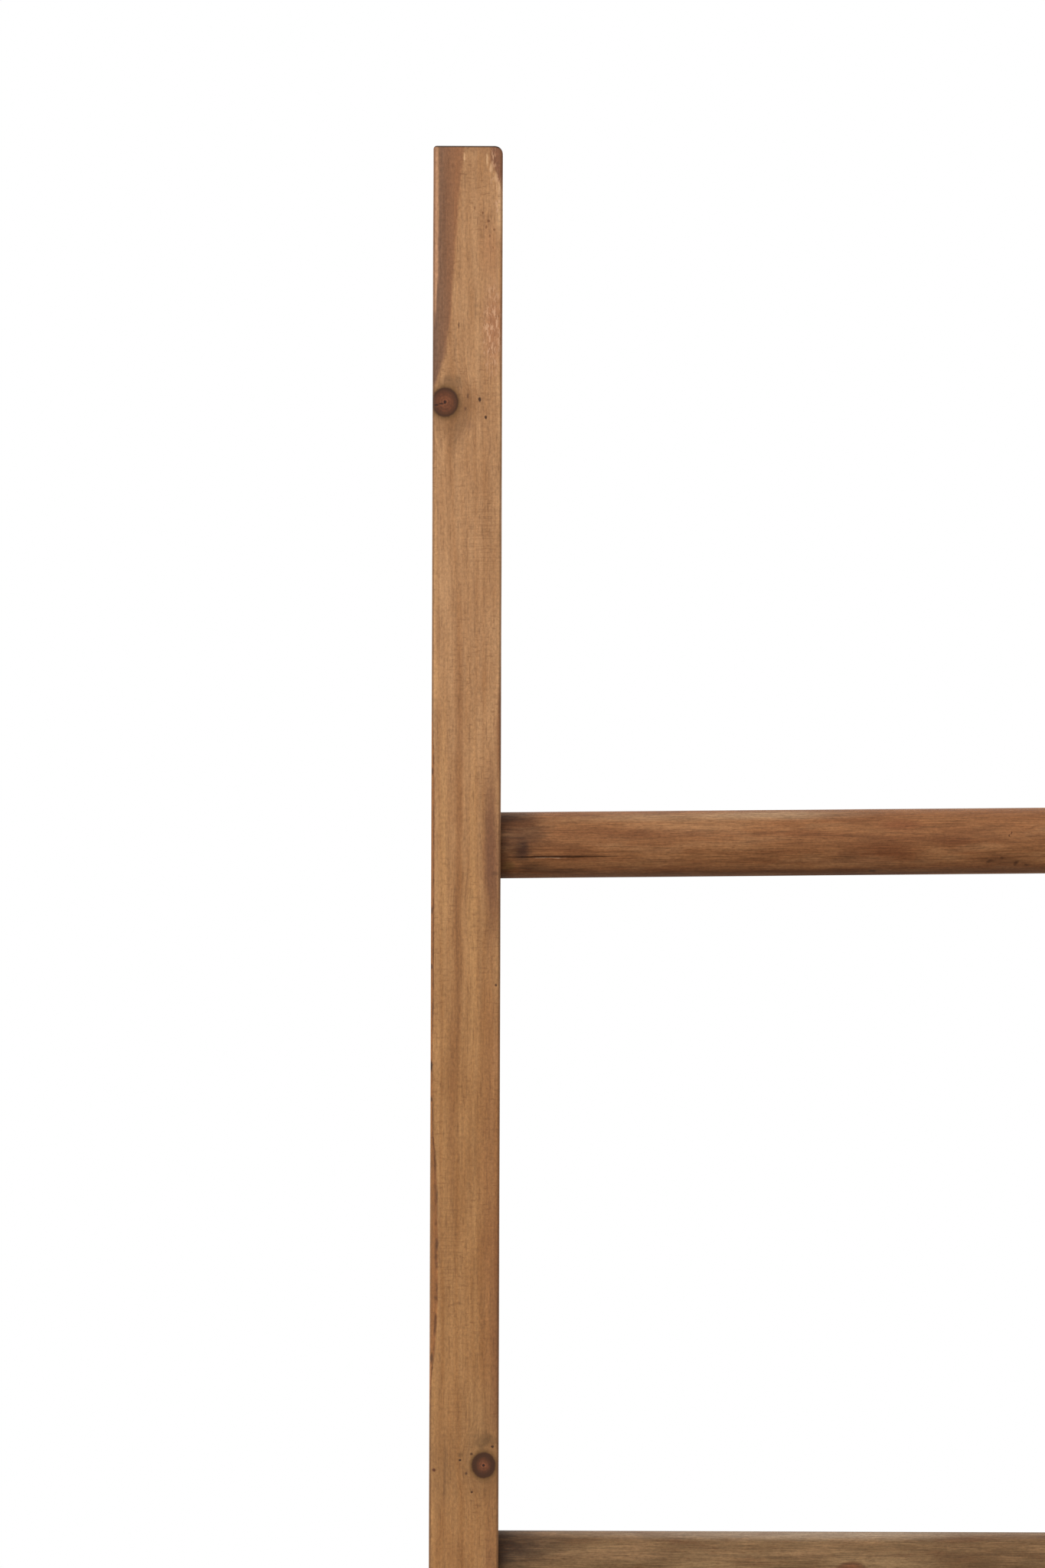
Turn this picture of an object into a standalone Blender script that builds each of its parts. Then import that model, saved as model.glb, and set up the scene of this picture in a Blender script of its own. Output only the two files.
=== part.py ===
"""Leaning quilt rack: two rails and five round rungs, with their screws, plugs, feet and wall bumpers.

Metres, +Z up. The front faces -Y and the wall is on the +Y side. The origin is on the floor, in the
middle of the rack's width and of its depth. Left and right are as seen from the front, so left is -X.
"""

import math

import bmesh
import bpy
from mathutils import Matrix

# Overall sizes.
RACK_HEIGHT = 1.830  # floor to the tops of the rails
RACK_WIDTH = 0.508  # over the outer faces of the rails

# Every glued or resting joint keeps this gap, which is the glue line on the real rack.
GAP = 0.0003

# Rails: planed bars with eased edges.
RAIL_FACE = 0.030  # across the front
RAIL_DEPTH = 0.040  # front to back
RAIL_EDGE = 0.002  # radius of every edge

# Rungs: turned bars, shouldered down to a tenon at each end.
RUNG_DIAMETER = 0.0286
RUNG_EDGE = 0.0005  # chamfer round the shoulder
TENON_DIAMETER = 0.020
TENON_CHAMFER = 0.001
TOP_REACH = 0.3013  # rail above the top rung's axis
BOTTOM_REACH = 0.2887  # rack below the lowest rung's axis
RUNG_RISES = (0.0054, 0.0, 0.0016, -0.0011, 0.0006)  # right end over left end, from the top rung down

# Wood screws, driven through the rails into the tenons.
SCREW_DIAMETER = 0.0042  # over the thread
SCREW_LENGTH = 0.040
SCREW_ROOT = 0.0028  # diameter between the threads
SCREW_PITCH = 0.0025
SCREW_RIM = 0.0004  # thickness of the countersunk head's edge
THREADED_SHARE = 0.55  # of the screw's length, measured from the tip
TIP_LENGTH = 0.004
RECESS_WIDTH = 0.0012  # of each slot of the cross recess
RECESS_DEPTH = 0.0015

# Wooden plugs over the screw heads, sanded almost flush with the rails' outer faces.
PLUG_DEPTH = 0.006  # from the outer face to the screw head
PLUG_ROOM = 0.0008  # plug bore over the screw head, on the radius
PLUG_CHAMFER = 0.0003
SEAT_WALL = 0.005  # wood between the bottoms of the plug bore and of the mortise

# Rubber feet and felt wall bumpers.
FOOT_THICKNESS = 0.003
FOOT_INSET = 0.002  # in from the rail's faces
FOOT_EDGE = 0.0006
BUMPER_DIAMETER = 0.016
BUMPER_THICKNESS = 0.003
BUMPER_EDGE = 0.0006
BUMPER_DROP = 0.045  # below the tops of the rails

# How round things are faceted.
RUNG_SIDES = 32
BORE_SIDES = 24
PLUG_SIDES = 24
SCREW_SIDES = 12
BUMPER_SIDES = 24
EDGE_SEGMENTS = 3
OVERSHOOT = 0.005  # how far a cutter runs past the face it opens
WELD = 1e-6

# Places that follow from the sizes above.
OUTER_FACE = RACK_WIDTH / 2
INNER_FACE = OUTER_FACE - RAIL_FACE
RAIL_FOOT = FOOT_THICKNESS + GAP
RAIL_LENGTH = RACK_HEIGHT - RAIL_FOOT
BUMPER_REACH = GAP + BUMPER_THICKNESS
CENTRE_Y = -BUMPER_REACH / 2  # puts the whole rack, bumpers included, evenly about the origin
SCREW_HEAD = 2 * SCREW_DIAMETER
PLUG_BORE_RADIUS = SCREW_HEAD / 2 + PLUG_ROOM
HEAD_FACE = OUTER_FACE - PLUG_DEPTH  # where the flat of the screw head lies, which is the plug bore's floor
MORTISE_FLOOR = HEAD_FACE - SEAT_WALL
MORTISE_RADIUS = TENON_DIAMETER / 2 + GAP
SCREW_HOLE_RADIUS = SCREW_DIAMETER / 2 + GAP
RUNG_PITCH = (RACK_HEIGHT - TOP_REACH - BOTTOM_REACH) / (len(RUNG_RISES) - 1)

SIDES = {"left": -1, "right": 1}


def finish(name, colour, roughness, metallic=0.0):
    """A material with one Principled BSDF; colour is linear RGB."""
    material = bpy.data.materials.new(name)
    material.use_nodes = True
    shader = material.node_tree.nodes["Principled BSDF"]
    shader.inputs["Base Color"].default_value = (*colour, 1.0)
    shader.inputs["Roughness"].default_value = roughness
    shader.inputs["Metallic"].default_value = metallic
    material.diffuse_color = (*colour, 1.0)
    return material


def mesh_of(name, shape, material):
    """Turns a bmesh into a mesh that is shaded smooth between its sharp edges."""
    bmesh.ops.recalc_face_normals(shape, faces=shape.faces)
    mesh = bpy.data.meshes.new(name)
    shape.to_mesh(mesh)
    shape.free()
    mesh.materials.append(material)
    mesh.shade_smooth()
    mesh.set_sharp_from_angle(angle=math.radians(30))
    return mesh


def place(name, mesh, location=(0.0, 0.0, 0.0), turn=0.0, parent=None, collection=None):
    """Adds an object, to the scene's own collection unless another is given; turn is about +Z."""
    thing = bpy.data.objects.new(name, mesh)
    (collection or bpy.context.scene.collection).objects.link(thing)
    thing.location = location
    thing.rotation_euler.z = turn
    thing.parent = parent
    return thing


def turned(profile, sides):
    """A solid turned about X from (x, radius) points, of which the first and last lie on the axis."""
    shape = bmesh.new()
    points = [shape.verts.new((x, radius, 0.0)) for x, radius in profile]
    edges = [shape.edges.new(pair) for pair in zip(points, points[1:])]
    bmesh.ops.spin(
        shape, geom=points + edges, cent=(0, 0, 0), axis=(1, 0, 0), angle=math.tau, steps=sides, use_merge=True
    )
    bmesh.ops.remove_doubles(shape, verts=shape.verts, dist=WELD)
    return shape


def block(width, depth, height, edge, segments):
    """A bar standing on its own origin, with every edge rounded."""
    shape = bmesh.new()
    bmesh.ops.create_cube(shape, size=1.0)
    bmesh.ops.scale(shape, vec=(width, depth, height), verts=shape.verts)
    bmesh.ops.translate(shape, vec=(0, 0, height / 2), verts=shape.verts)
    bmesh.ops.bevel(
        shape,
        geom=shape.edges[:],
        offset=edge,
        segments=segments,
        profile=0.5,
        affect="EDGES",
        material=-1,
    )
    return shape


def joint_cutter():
    """What the right rail loses at a rung: mortise, screw hole, countersink and plug bore, along +X."""
    head_radius = SCREW_HEAD / 2 + GAP
    cone_top = HEAD_FACE - SCREW_RIM
    profile = [
        (INNER_FACE - OVERSHOOT, 0.0),
        (INNER_FACE - OVERSHOOT, MORTISE_RADIUS),
        (MORTISE_FLOOR, MORTISE_RADIUS),
        (MORTISE_FLOOR, SCREW_HOLE_RADIUS),
        (cone_top - (head_radius - SCREW_HOLE_RADIUS), SCREW_HOLE_RADIUS),
        (cone_top, head_radius),
        (HEAD_FACE, head_radius),
        (HEAD_FACE, PLUG_BORE_RADIUS),
        (OUTER_FACE + OVERSHOOT, PLUG_BORE_RADIUS),
        (OUTER_FACE + OVERSHOOT, 0.0),
    ]
    return turned(profile, BORE_SIDES)


def rung_shape():
    """One rung along X about its middle: body, two tenons, and a pilot hole in each end."""
    body = RUNG_DIAMETER / 2
    tenon = TENON_DIAMETER / 2
    shoulder = INNER_FACE - GAP
    end = MORTISE_FLOOR - GAP
    pilot_bottom = HEAD_FACE - SCREW_LENGTH - 2 * GAP
    right_half = [
        (shoulder - RUNG_EDGE, body),
        (shoulder, body - RUNG_EDGE),
        (shoulder, tenon),
        (end - TENON_CHAMFER, tenon),
        (end, tenon - TENON_CHAMFER),
        (end, SCREW_HOLE_RADIUS),
        (pilot_bottom, SCREW_HOLE_RADIUS),
        (pilot_bottom, 0.0),
    ]
    left_half = [(-x, radius) for x, radius in reversed(right_half)]
    return turned(left_half + right_half, RUNG_SIDES)


def screw_shape():
    """A countersunk wood screw along X: its head's flat at the origin, its tip on the -X side."""
    head = SCREW_HEAD / 2
    crest = SCREW_DIAMETER / 2
    root = SCREW_ROOT / 2
    tip_start = TIP_LENGTH - SCREW_LENGTH
    thread_end = THREADED_SHARE * SCREW_LENGTH - SCREW_LENGTH
    profile = [(-SCREW_LENGTH, 0.0), (tip_start, root)]
    for ring in range(int((thread_end - tip_start) / SCREW_PITCH)):
        middle = tip_start + (ring + 0.5) * SCREW_PITCH
        profile += [(middle, crest), (middle + SCREW_PITCH / 2, root)]
    profile += [
        (-SCREW_RIM - (head - root), root),
        (-SCREW_RIM, head),
        (0.0, head),
        (0.0, 0.0),
    ]
    return turned(profile, SCREW_SIDES)


def screw_mesh(material):
    """The screw with its cross recess cut, as one mesh that all the screws share."""
    blank = place("screw_blank", mesh_of("screw_blank", screw_shape(), material))
    slots = []
    for name, quarter in (("slot_a", 0.0), ("slot_b", math.pi / 2)):
        shape = bmesh.new()
        bmesh.ops.create_cube(shape, size=1.0)
        bmesh.ops.scale(shape, vec=(2 * RECESS_DEPTH, RECESS_WIDTH, SCREW_DIAMETER), verts=shape.verts)
        bmesh.ops.rotate(shape, cent=(0, 0, 0), matrix=Matrix.Rotation(quarter, 3, "X"), verts=shape.verts)
        slots.append(place(name, mesh_of(name, shape, material)))
        cut = blank.modifiers.new(name, "BOOLEAN")
        cut.object = slots[-1]
        cut.operation = "DIFFERENCE"
    bpy.context.view_layer.update()
    mesh = bpy.data.meshes.new_from_object(blank.evaluated_get(bpy.context.evaluated_depsgraph_get()))
    mesh.name = "screw"
    for helper in (blank, *slots):
        bpy.data.objects.remove(helper)
    return mesh


def plug_shape():
    """A plug along X, standing between the screw head and the rail's outer face, a gap short of both."""
    radius = PLUG_BORE_RADIUS - GAP
    inner = HEAD_FACE + GAP
    outer = OUTER_FACE - GAP
    profile = [
        (inner, 0.0),
        (inner, radius),
        (outer - PLUG_CHAMFER, radius),
        (outer, radius - PLUG_CHAMFER),
        (outer, 0.0),
    ]
    return turned(profile, PLUG_SIDES)


def bumper_shape():
    """A felt disc that stands out along +Y, its glued face at the origin."""
    radius = BUMPER_DIAMETER / 2
    profile = [
        (0.0, 0.0),
        (0.0, radius),
        (BUMPER_THICKNESS - BUMPER_EDGE, radius),
        (BUMPER_THICKNESS, radius - BUMPER_EDGE),
        (BUMPER_THICKNESS, 0.0),
    ]
    shape = turned(profile, BUMPER_SIDES)
    bmesh.ops.rotate(shape, cent=(0, 0, 0), matrix=Matrix.Rotation(math.pi / 2, 3, "Z"), verts=shape.verts)
    return shape


def rung_axis(number, rise):
    """An empty at the middle of a rung, tilted so that its right end is higher by the rise."""
    left_height = RACK_HEIGHT - TOP_REACH - (number - 1) * RUNG_PITCH
    axis = place(f"rung_{number}_axis", None, (0.0, CENTRE_Y, left_height + rise / 2))
    axis.rotation_euler.y = -math.atan2(rise, 2 * INNER_FACE)
    return axis


def build():
    for old in list(bpy.data.objects):
        bpy.data.objects.remove(old)

    rail_wood = finish("rail_wood", (0.36, 0.19, 0.085), 0.55)
    rung_wood = finish("rung_wood", (0.24, 0.12, 0.055), 0.50)
    plug_wood = finish("plug_wood", (0.28, 0.14, 0.060), 0.60)
    steel = finish("zinc_plated_steel", (0.56, 0.56, 0.55), 0.35, 1.0)
    rubber = finish("black_rubber", (0.02, 0.02, 0.02), 0.80)
    felt = finish("brown_felt", (0.13, 0.08, 0.05), 0.95)

    cutter = mesh_of("joint_cutter", joint_cutter(), rail_wood)
    rung = mesh_of("rung", rung_shape(), rung_wood)
    screw = screw_mesh(steel)
    plug = mesh_of("plug", plug_shape(), plug_wood)
    rail = mesh_of("rail", block(RAIL_FACE, RAIL_DEPTH, RAIL_LENGTH, RAIL_EDGE, EDGE_SEGMENTS), rail_wood)
    foot = mesh_of(
        "foot",
        block(RAIL_FACE - 2 * FOOT_INSET, RAIL_DEPTH - 2 * FOOT_INSET, FOOT_THICKNESS, FOOT_EDGE, 2),
        rubber,
    )
    bumper = mesh_of("bumper", bumper_shape(), felt)

    axes = [rung_axis(number, rise) for number, rise in enumerate(RUNG_RISES, start=1)]
    for number, axis in enumerate(axes, start=1):
        place(f"rung_{number}", rung, parent=axis)

    for side, sign in SIDES.items():
        turn = 0.0 if sign > 0 else math.pi
        rail_x = sign * (OUTER_FACE + INNER_FACE) / 2
        body = place(f"{side}_rail", rail, (rail_x, CENTRE_Y, RAIL_FOOT))
        tools = bpy.data.collections.new(f"{side}_cutters")
        bpy.context.scene.collection.children.link(tools)
        cut = body.modifiers.new("joints", "BOOLEAN")
        cut.operand_type = "COLLECTION"
        cut.collection = tools
        cut.operation = "DIFFERENCE"
        place(f"{side}_foot", foot, (rail_x, CENTRE_Y, 0.0))
        bumper_at = (rail_x, CENTRE_Y + RAIL_DEPTH / 2 + GAP, RACK_HEIGHT - BUMPER_DROP)
        place(f"{side}_wall_bumper", bumper, bumper_at)
        for number, axis in enumerate(axes, start=1):
            place(f"rung_{number}_{side}_screw", screw, (sign * HEAD_FACE, 0, 0), turn, axis)
            place(f"rung_{number}_{side}_plug", plug, turn=turn, parent=axis)
            tool = place(f"rung_{number}_{side}_cutter", cutter, turn=turn, parent=axis, collection=tools)
            tool.hide_render = True
            tool.display_type = "WIRE"


build()
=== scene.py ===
"""Leaning quilt rack: how its wood, screws, plugs, feet and bumpers look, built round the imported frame.

Metres, +Z up, the front faces -Y. Places on the wood are given in millimetres from a corner of each piece.
"""

import math

import bmesh
import bpy
from mathutils import Matrix, Vector, noise


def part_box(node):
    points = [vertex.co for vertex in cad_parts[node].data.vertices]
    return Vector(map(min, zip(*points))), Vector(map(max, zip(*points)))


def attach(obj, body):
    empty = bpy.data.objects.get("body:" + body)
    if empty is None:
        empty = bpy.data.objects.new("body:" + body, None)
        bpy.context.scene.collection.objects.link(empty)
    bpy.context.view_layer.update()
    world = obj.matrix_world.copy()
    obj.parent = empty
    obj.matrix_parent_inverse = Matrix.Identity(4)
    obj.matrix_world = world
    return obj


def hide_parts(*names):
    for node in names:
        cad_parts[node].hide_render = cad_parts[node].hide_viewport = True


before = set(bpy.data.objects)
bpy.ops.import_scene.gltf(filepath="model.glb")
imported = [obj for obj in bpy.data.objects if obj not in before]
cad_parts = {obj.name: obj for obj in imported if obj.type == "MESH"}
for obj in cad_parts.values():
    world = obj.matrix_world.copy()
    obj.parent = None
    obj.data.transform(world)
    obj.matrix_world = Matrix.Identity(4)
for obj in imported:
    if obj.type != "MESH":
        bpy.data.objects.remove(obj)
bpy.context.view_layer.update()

MM = 0.001

# --- Rails -----------------------------------------------------------------------------------------
# Two bars of knotty pine, sawn, planed and brushed with brown wax. The arrises are rounded by hand
# with sandpaper, so they wander, and the left bar keeps a strip of waney edge along its front.

ARRIS = 1.4 * MM
TOP_CORNERS = {"left_rail": (1.5 * MM, 3.5 * MM), "right_rail": (4.0 * MM, 3.0 * MM)}
CORNER_STEPS = 6
ARRIS_STEPS = 4
ROW = 3.0 * MM  # spacing of the mesh along the rail
COLUMN = 1.3 * MM  # and across its faces
FACE_WANDER = 0.10 * MM  # how far the planed faces dip
FACE_WAVES = 22  # dips per metre
ARRIS_WANDER = 0.45 * MM  # how much more is worn off the arrises in places
ARRIS_WAVES = Vector((8, 8, 26))
SHAFT = 0.3  # an edge longer than this runs along a bar
WELD = 1e-6
SQUARE_EDGE = math.radians(60)  # an edge that turns more than this gets an arris
SMOOTH_ANGLE = math.radians(35)

# The waney edge: its width on the front face, at each distance below the rail's top, in mm.
WANE = [
    (240, 0.0), (262, 1.2), (300, 1.35), (360, 1.3), (395, 0.8), (425, 1.3), (440, 2.6), (470, 3.4),
    (500, 3.3), (516, 2.4), (530, 1.0), (548, 0.0),
]
WANE_WIDEST = 4.0
WANE_FALL = 0.45  # depth of the waney edge as a share of its width
WANE_RAGGED = 0.3  # and how far that width comes and goes
WANE_WAVES = 160


def along(points, place):
    """The value at a place on a line through points, each a place and a value."""
    for (before, low), (after, high) in zip(points, points[1:]):
        if before <= place <= after:
            return low + (high - low) * (place - before) / (after - before)
    return 0.0


def split(shape, axis, places):
    """Cuts the shape across at each place along an axis."""
    normal = Vector((0, 0, 0))
    normal[axis] = 1
    for place in places:
        geometry = [*shape.verts, *shape.edges, *shape.faces]
        bmesh.ops.bisect_plane(shape, geom=geometry, dist=WELD, plane_co=normal * place, plane_no=normal)


def steps(start, end, size):
    """Evenly spaced places between two ends, about a size apart."""
    count = max(2, round((end - start) / size))
    return [start + (end - start) * step / count for step in range(1, count)]


def block(low, high):
    """A plain box between two corners."""
    shape = bmesh.new()
    bmesh.ops.create_cube(shape, size=1.0)
    bmesh.ops.scale(shape, vec=high - low, verts=shape.verts)
    bmesh.ops.translate(shape, vec=(low + high) / 2, verts=shape.verts)
    return shape


def ease(shape, edges, radius, segments):
    """Rounds over some of a shape's edges."""
    bmesh.ops.bevel(
        shape, geom=edges, offset=radius, segments=segments, profile=0.5, affect="EDGES", material=-1
    )


def rail_bar(low, high, top_corners):
    """A bar with two rounded top corners and eased arrises, divided into a fine grid."""
    bar = block(low, high)
    for side, radius in zip((low.x, high.x), top_corners):
        corner = [
            edge
            for edge in bar.edges
            if all(abs(v.co.x - side) < WELD and abs(v.co.z - high.z) < WELD for v in edge.verts)
        ]
        ease(bar, corner, radius, CORNER_STEPS)
    ease(bar, [edge for edge in bar.edges if edge.calc_face_angle() > SQUARE_EDGE], ARRIS, ARRIS_STEPS)
    split(bar, 0, steps(low.x + ARRIS, high.x - ARRIS, COLUMN))
    split(bar, 1, steps(low.y + ARRIS, high.y - ARRIS, 2 * COLUMN))
    shaft_top = high.z - max(top_corners) - 3 * ARRIS
    shaft_foot = low.z + 3 * ARRIS
    split(bar, 2, (shaft_foot, shaft_top))
    tall = [edge for edge in bar.edges if edge.calc_length() > SHAFT]
    rows = round((shaft_top - shaft_foot) / ROW)
    bmesh.ops.subdivide_edges(bar, edges=tall, cuts=rows, use_grid_fill=True)
    return bar


def wear_rail(bar, low, high, wane):
    """Dips the faces, wears the arrises unevenly and takes the waney edge off the front left arris."""
    bar.normal_update()
    for vert in bar.verts:
        place = vert.co.copy()
        drop = (high.z - place.z) / MM
        from_side = min(place.x - low.x, high.x - place.x)
        from_face = min(place.y - low.y, high.y - place.y)
        dip = FACE_WANDER * (0.5 + 0.5 * noise.noise(place * FACE_WAVES))
        if from_side < 2 * ARRIS and from_face < 2 * ARRIS:
            dip += ARRIS_WANDER * max(0.0, noise.noise(place * ARRIS_WAVES))
        vert.co -= vert.normal * dip
        width = along(wane, drop) * MM
        width *= 1 + WANE_RAGGED * noise.noise(Vector((0, 0, place.z * WANE_WAVES)))
        if width > 0:
            fall = width * WANE_FALL + ARRIS
            across = (place.x - low.x) / width + (place.y - low.y) / fall
            if across < 1:
                slope = Vector((1 / width, 1 / fall, 0))
                vert.co += slope * (1 - across) / slope.length_squared


def turned(profile, sides):
    """A solid turned about X from (x, radius) points, of which the first and last lie on the axis."""
    shape = bmesh.new()
    points = [shape.verts.new((x, radius, 0.0)) for x, radius in profile]
    edges = [shape.edges.new(pair) for pair in zip(points, points[1:])]
    bmesh.ops.spin(
        shape,
        geom=points + edges,
        cent=(0, 0, 0),
        axis=(1, 0, 0),
        angle=math.tau,
        steps=sides,
        use_merge=True,
    )
    bmesh.ops.remove_doubles(shape, verts=shape.verts, dist=WELD)
    bmesh.ops.recalc_face_normals(shape, faces=shape.faces)
    return shape


def piece(name, shape, *materials):
    """An object at the origin from a shape that is already in its place."""
    mesh = bpy.data.meshes.new(name)
    shape.to_mesh(mesh)
    shape.free()
    for material in materials:
        mesh.materials.append(material)
    thing = bpy.data.objects.new(name, mesh)
    bpy.context.scene.collection.objects.link(thing)
    return thing


def cut(thing, tools):
    """Takes the tools out of a piece and removes them."""
    drawer = bpy.data.collections.new(f"{thing.name}_tools")
    bpy.context.scene.collection.children.link(drawer)
    for tool in tools:
        bpy.context.scene.collection.objects.unlink(tool)
        drawer.objects.link(tool)
    modifier = thing.modifiers.new("joints", "BOOLEAN")
    modifier.solver = "MANIFOLD"
    modifier.operand_type = "COLLECTION"
    modifier.collection = drawer
    bpy.context.view_layer.update()
    old = thing.data
    thing.data = bpy.data.meshes.new_from_object(thing.evaluated_get(bpy.context.evaluated_depsgraph_get()))
    thing.data.name = thing.name
    thing.modifiers.clear()
    bpy.data.meshes.remove(old)
    for tool in tools:
        bpy.data.objects.remove(tool)
    bpy.data.collections.remove(drawer)


def smooth(thing):
    """Shades a piece smooth between its sharp edges."""
    thing.data.shade_smooth()
    thing.data.set_sharp_from_angle(angle=SMOOTH_ANGLE)


# Each joint: the rung's tenon, the screw into its end and the plug over the screw, all on one line.
GLUE = 0.3 * MM  # room round the tenon, the screw and its head
TENON_RADIUS = 10.0 * MM
PLUG_ROOM = 0.1 * MM
SCREW_RADIUS = 2.1 * MM
SCREW_RIM = 0.4 * MM
JOINT_SIDES = 48
PAST = 5.0 * MM  # how far a cutter runs past the face it opens


def middle(node):
    """The middle of a node's box."""
    low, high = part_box(node)
    return (low + high) / 2


def rung_line(number):
    """Where a rung's line starts and ends, at the middles of its two plugs."""
    return middle(f"rung_{number}_left_plug"), middle(f"rung_{number}_right_plug")


def rung_turn(number):
    """The rung's tilt from level, as an angle that lifts its right end."""
    left, right = rung_line(number)
    return math.atan2(right.z - left.z, right.x - left.x)


def onto_line(shape, number, side):
    """Moves a shape that was made along X, from the rack's middle outwards, onto a rung's line."""
    left, right = rung_line(number)
    turn = Matrix.Rotation(-rung_turn(number), 4, "Y")
    half_turn = Matrix.Rotation(math.pi if side == "left" else 0.0, 4, "Z")
    bmesh.ops.transform(
        shape, matrix=Matrix.Translation((left + right) / 2) @ turn @ half_turn, verts=shape.verts
    )


INNER_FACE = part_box("right_rail")[0].x
OUTER_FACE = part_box("right_rail")[1].x
TENON_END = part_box("rung_2")[1].x
HEAD_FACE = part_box("rung_2_right_screw")[1].x
HEAD_RADIUS = (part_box("rung_2_right_screw")[1].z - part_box("rung_2_right_screw")[0].z) / 2
PLUG_RADIUS = (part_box("rung_2_right_plug")[1].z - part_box("rung_2_right_plug")[0].z) / 2 + GLUE - PLUG_ROOM


def joint_cutter(number, side):
    """What a rail loses at a rung: mortise, screw hole, countersink and plug bore."""
    bore = SCREW_RADIUS + GLUE
    head = HEAD_RADIUS + GLUE
    cone_top = HEAD_FACE - SCREW_RIM
    profile = [
        (INNER_FACE - PAST, 0.0),
        (INNER_FACE - PAST, TENON_RADIUS + GLUE),
        (TENON_END + GLUE, TENON_RADIUS + GLUE),
        (TENON_END + GLUE, bore),
        (cone_top - (head - bore), bore),
        (cone_top, head),
        (HEAD_FACE, head),
        (HEAD_FACE, PLUG_RADIUS + PLUG_ROOM),
        (OUTER_FACE + PAST, PLUG_RADIUS + PLUG_ROOM),
        (OUTER_FACE + PAST, 0.0),
    ]
    shape = turned(profile, JOINT_SIDES)
    onto_line(shape, number, side)
    return piece(f"joint_{number}_{side}", shape)


def hex_colour(code):
    """The linear RGBA of an sRGB colour written as #rrggbb."""
    parts = [int(code[i : i + 2], 16) / 255 for i in (1, 3, 5)]
    return (*(c / 12.92 if c <= 0.04045 else ((c + 0.055) / 1.055) ** 2.4 for c in parts), 1.0)


def add(tree, kind, *inputs, points=(), **settings):
    """Adds a node whose sockets take the inputs in order, and returns its first output.

    The kind may end in a dot and the node's way of working, and a Mix node mixes colours. None leaves a
    socket alone. Points are those of a curve, the two end ones first.
    """
    kind, _, way = kind.partition(".")
    node = tree.nodes.new("ShaderNode" + kind)
    if way:
        setattr(node, "interpolation_type" if kind == "MapRange" else "operation", way)
    if kind == "Mix":
        node.data_type = "RGBA"
    for name, value in settings.items():
        setattr(node, name, value)
    for spot, point in enumerate(points):
        curve = node.mapping.curves[0].points
        if spot < 2:
            curve[spot].location = point
        else:
            curve.new(*point)
        for bend in curve:
            bend.handle_type = "VECTOR"
    for socket, value in zip([s for s in node.inputs if s.enabled], inputs):
        if isinstance(value, bpy.types.NodeSocket):
            tree.links.new(value, socket)
        elif isinstance(value, str):
            socket.default_value = hex_colour(value)
        elif value is not None:
            socket.default_value = value
    return next(s for s in node.outputs if s.enabled)


def finish_of(name):
    """A new material and its node tree, emptied of all but the output."""
    material = bpy.data.materials.new(name)
    material.use_nodes = True
    tree = material.node_tree
    tree.nodes.remove(tree.nodes["Principled BSDF"])
    return material, tree


def surface(material, shader):
    """Puts a shader on the surface of its material."""
    tree = material.node_tree
    tree.links.new(shader, tree.nodes["Material Output"].inputs["Surface"])
    return material


def in_mm(tree, corner, scale=(1, 1, 1), turn=0.0):
    """Coordinates in mm from a corner of the piece, turned about Y."""
    scale = Vector(scale) / MM
    start = Matrix.Rotation(turn, 3, "Y") @ (corner * scale)
    place = add(tree, "TexCoord").node.outputs["Object"]
    return add(tree, "Mapping", place, -start, (0, turn, 0), scale)


def mottled(tree, mm, per_mm, detail, roughness):
    """Noise with so many changes per mm across the piece, inward and along it.

    The comments where it is used give the size of what it draws, across the piece and along it.
    """
    grain = add(tree, "VectorMath.MULTIPLY", mm, per_mm)
    return add(tree, "TexNoise", grain, 1.0, detail, roughness)


def ragged(tree, mm, size, amount, stretch):
    """Coordinates that wander by an amount, so that what is drawn on them has a natural outline."""
    per_mm = (1 / size, 1 / size, 1 / (size * stretch))
    wander = mottled(tree, mm, per_mm, 3.0, 0.6).node.outputs["Color"]
    shift = add(tree, "VectorMath.SUBTRACT", wander, (0.5, 0.5, 0.5))
    scaled = add(tree, "VectorMath.MULTIPLY", shift, (amount, amount, amount * stretch))
    return add(tree, "VectorMath.ADD", mm, scaled)


def away_from(tree, mm, centre, reach):
    """How far a place is from a centre, where 1 is the reach in each direction."""
    scaled = add(tree, "VectorMath.MULTIPLY", mm, [1 / r for r in reach])
    return add(tree, "VectorMath.DISTANCE", scaled, [c / r for c, r in zip(centre, reach)])


def lay(tree, ground, away, edge, full, colour, strength):
    """Lays a colour that starts where away is at edge and has its whole strength at full."""
    share = add(tree, "MapRange.SMOOTHSTEP", away, edge, full, 0.0, strength)
    return add(tree, "Mix", share, ground, colour)


def lay_marks(tree, ground, mm, marks):
    """Lays soft spots over a colour: each has a centre, a reach, a colour, a strength and a soft share."""
    for centre, reach, colour, strength, soft in marks:
        ground = lay(tree, ground, away_from(tree, mm, centre, reach), 1.0, 1.0 - soft, colour, strength)
    return ground


def part_round(tree, mm, knots):
    """Coordinates in which the fibres part round each knot."""
    for centre, radius, _ in knots:
        away = away_from(tree, mm, centre, (radius, KNOT_DEPTH, 1.6 * radius))
        pull = add(tree, "MapRange.SMOOTHSTEP", away, 0.4, 2.6, 0.6, 0.0)
        towards = add(tree, "VectorMath.SUBTRACT", (centre[0], 0, 0), mm)
        towards = add(tree, "VectorMath.MULTIPLY", towards, (1, 0, 0))
        shift = add(tree, "VectorMath.SCALE", towards, pull)
        mm = add(tree, "VectorMath.ADD", mm, shift)
    return mm


RING_SWAY = 16.0  # how far the growth rings wander, in mm


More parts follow.
